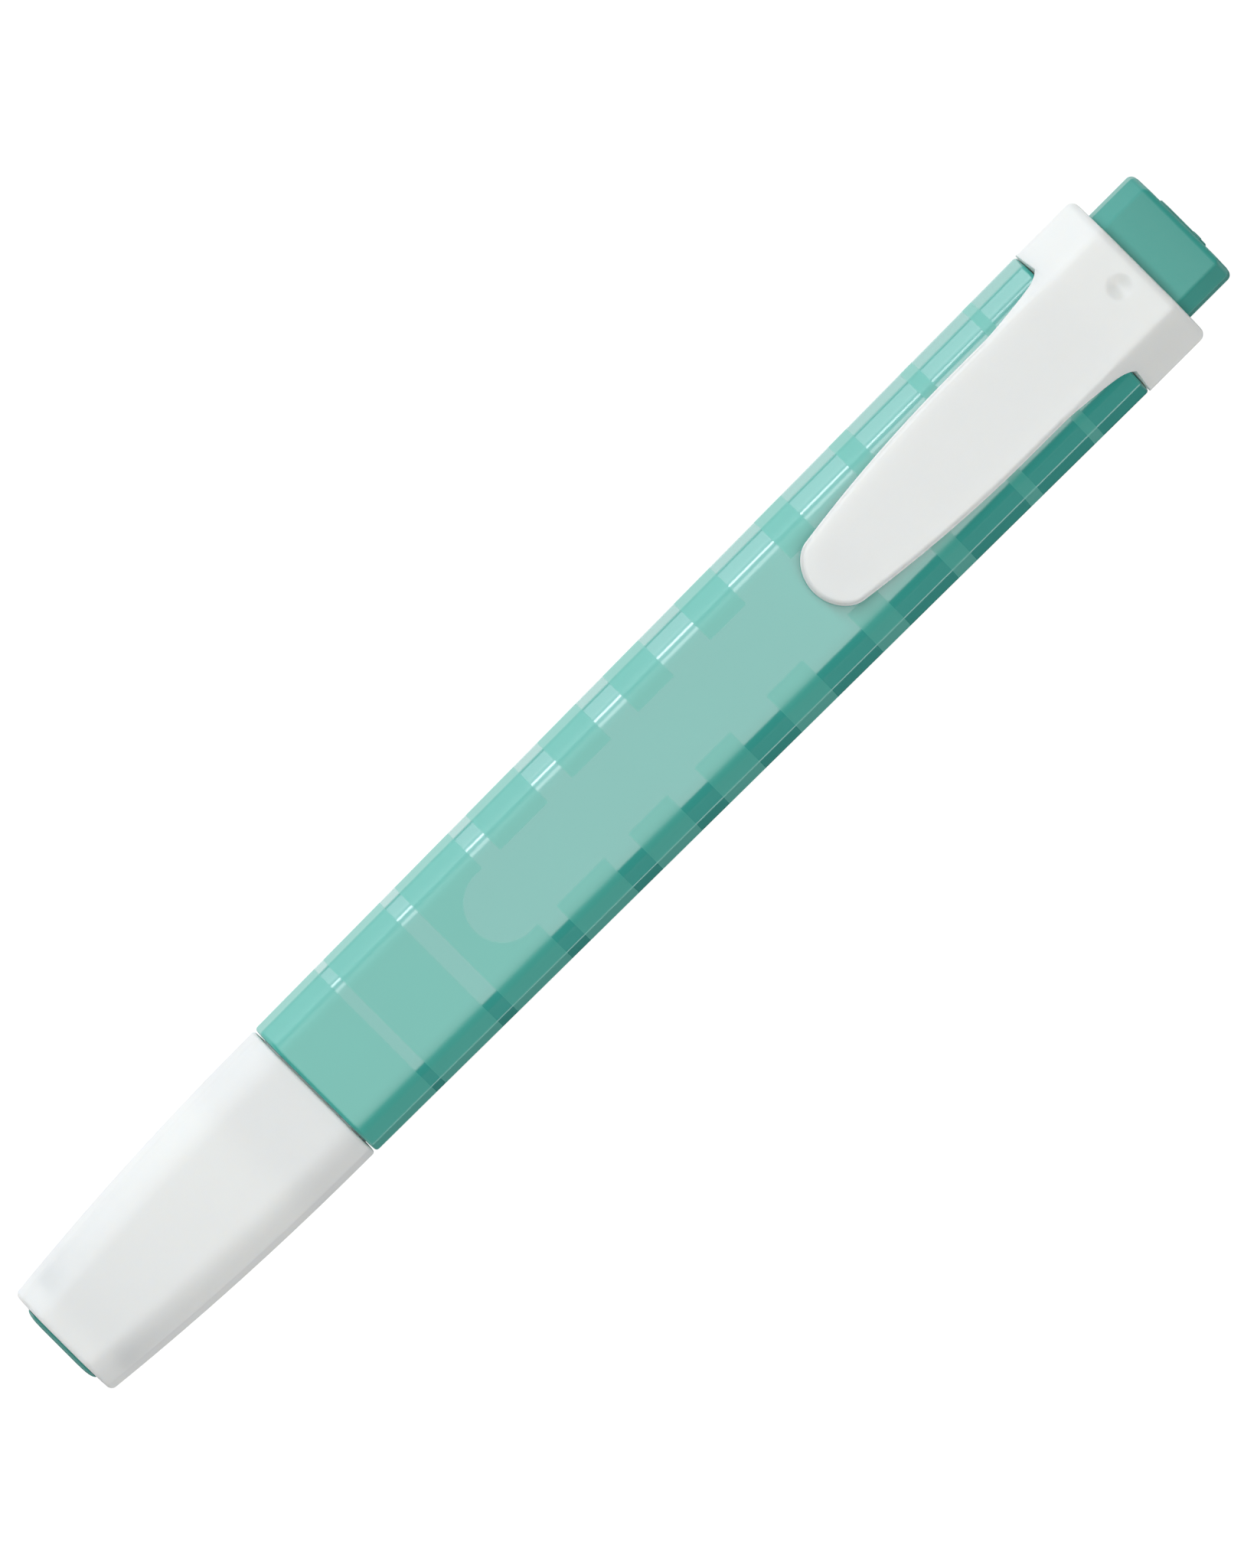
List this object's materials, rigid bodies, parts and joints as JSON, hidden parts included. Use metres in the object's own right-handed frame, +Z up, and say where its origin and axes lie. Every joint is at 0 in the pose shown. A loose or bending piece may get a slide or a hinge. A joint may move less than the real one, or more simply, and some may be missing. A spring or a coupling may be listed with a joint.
{
  "type": "highlighter pen",
  "caption": "Flat pocket highlighter: tapered faceted barrel, pull-off cap with sealing sleeve, chisel nib, sprung clip and posting stub.",
  "frame": {"origin": "centre of the pen's box at the flat back face that it lies on", "axes": "+X along the pen from the cap's nose to the posting stub, +Y across the broad faces, +Z up out of the broad face that carries the clip"},
  "size_m": [0.137, 0.0164, 0.0135],
  "materials": {
    "white_cap": "fine satin moulded polypropylene, cool white",
    "white_clip": "matt moulded polypropylene, cool white",
    "turquoise_barrel": "pastel turquoise polypropylene, satin with gloss lacquer bands",
    "turquoise_plug": "semi-gloss moulded polypropylene, deeper turquoise",
    "section_white": "smooth moulded polypropylene",
    "nib_fibre": "bonded polyester fibre soaked with turquoise ink",
    "core_fibre": "bundled polyester fibre charged with ink",
    "film": "thin clear film sleeve"
  },
  "bodies": {
    "pen": {"barrel": "turquoise_barrel", "front_section": "section_white", "nib": "nib_fibre", "reservoir_core": "core_fibre", "reservoir_film": "film", "clip_collar": "white_clip", "end_plug": "turquoise_plug"},
    "cap": {"cap_shell": "white_cap", "cap_sleeve": "turquoise_plug", "cap_disc": "turquoise_plug"},
    "clip": {"clip_blade": "white_clip"}
  },
  "joints": [
    {"name": "cap_pull", "type": "slide", "parent": "pen", "child": "cap", "axis": [-1, 0, 0], "range_m": [0, 0.04]},
    {"name": "clip_flex", "type": "hinge", "parent": "pen", "child": "clip", "pos_m": [0.05607, 0, 0.0135], "axis": [0, 1, 0], "range_deg": [0, 6], "stiffness_Nm_per_rad": 2.5}
  ]
}
